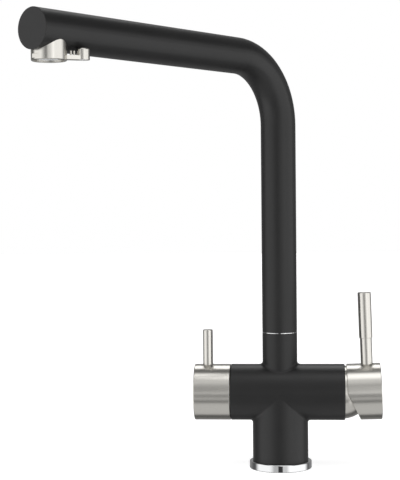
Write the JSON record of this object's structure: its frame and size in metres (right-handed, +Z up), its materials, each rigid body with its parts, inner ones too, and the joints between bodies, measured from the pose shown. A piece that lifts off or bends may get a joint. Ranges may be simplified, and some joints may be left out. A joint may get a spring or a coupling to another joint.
{
  "type": "three way filtered water tap",
  "caption": "Deck-mounted kitchen tap with a bent swivel spout, a lever for mixed hot and cold water and a small stick valve for filtered water, each with its own outlet.",
  "frame": {"origin": "centre of the base's underside, on the worktop", "axes": "+Z up out of the worktop; X along the barrel, +X towards the mixer lever; the user stands at -Y"},
  "size_m": [0.248, 0.2426, 0.3414],
  "materials": {
    "satin_black": "satin black coating",
    "brushed_nickel": "fine brushed nickel",
    "polished_chrome": "polished",
    "plain_brass": "turned, uncoated",
    "stainless": "machined",
    "ceramic": "ground ceramic",
    "black_rubber": "matte",
    "grey_plastic": "moulded",
    "white_tube": "smooth",
    "nickel_plastic": "plated"
  },
  "bodies": {
    "body": {"body_casting": "satin_black", "base_ring": "polished_chrome", "base_gasket": "black_rubber", "swivel_ring": "polished_chrome", "spout_set_screw": "stainless", "filter_valve_body": "plain_brass", "filter_valve_seal": "black_rubber", "filter_fixed_disc": "ceramic", "cartridge_base": "grey_plastic", "cartridge_seals": "black_rubber", "cartridge_housing": "grey_plastic", "cartridge_fixed_disc": "ceramic", "cartridge_nut": "plain_brass", "dome_cover": "brushed_nickel"},
    "spout": {"spout_tube": "satin_black", "spout_end_cap": "satin_black", "spout_spigot": "plain_brass", "spigot_o_rings": "black_rubber", "filter_tube": "white_tube", "filter_tube_seal": "black_rubber", "outlet_housing": "brushed_nickel", "aerator_insert": "grey_plastic", "aerator_screen": "grey_plastic", "aerator_seal": "black_rubber", "filter_spray_plate": "grey_plastic"},
    "filter_handle": {"filter_turning_disc": "ceramic", "filter_spindle": "plain_brass", "spindle_o_ring": "black_rubber", "filter_knob": "brushed_nickel", "filter_stick": "brushed_nickel", "knob_set_screw": "stainless"},
    "mixer_rotor": {"cartridge_rotor": "grey_plastic", "rotor_pin": "stainless"},
    "mixer_disc": {"cartridge_sliding_disc": "ceramic", "disc_carrier": "grey_plastic"},
    "mixer_lever": {"cartridge_stem": "stainless", "lever_cap": "brushed_nickel", "lever_neck": "brushed_nickel", "lever_grip": "brushed_nickel", "lever_set_screw": "stainless", "lever_screw_plug": "nickel_plastic"}
  },
  "joints": [
    {"name": "spout_swivel", "type": "hinge", "parent": "body", "child": "spout", "pos_m": [0, 0, 0.1095], "axis": [0, 0, 1], "continuous": true},
    {"name": "filter_turn", "type": "hinge", "parent": "body", "child": "filter_handle", "pos_m": [-0.0396, 0, 0.061], "axis": [1, 0, 0], "range_deg": [0, 90]},
    {"name": "mixer_turn", "type": "hinge", "parent": "body", "child": "mixer_rotor", "pos_m": [0.0505, 0, 0.061], "axis": [1, 0, 0], "range_deg": [-50, 50]},
    {"name": "mixer_tilt", "type": "hinge", "parent": "mixer_rotor", "child": "mixer_lever", "pos_m": [0.0505, 0, 0.061], "axis": [0, 1, 0], "range_deg": [0, 24.5]},
    {"name": "disc_slide", "type": "slide", "parent": "mixer_rotor", "child": "mixer_disc", "axis": [0, 0, 1], "range_m": [0, 0.00542]}
  ],
  "couplings": [
    {"joint": "disc_slide", "follows": "mixer_tilt", "m_per_rad": 0.01265}
  ]
}
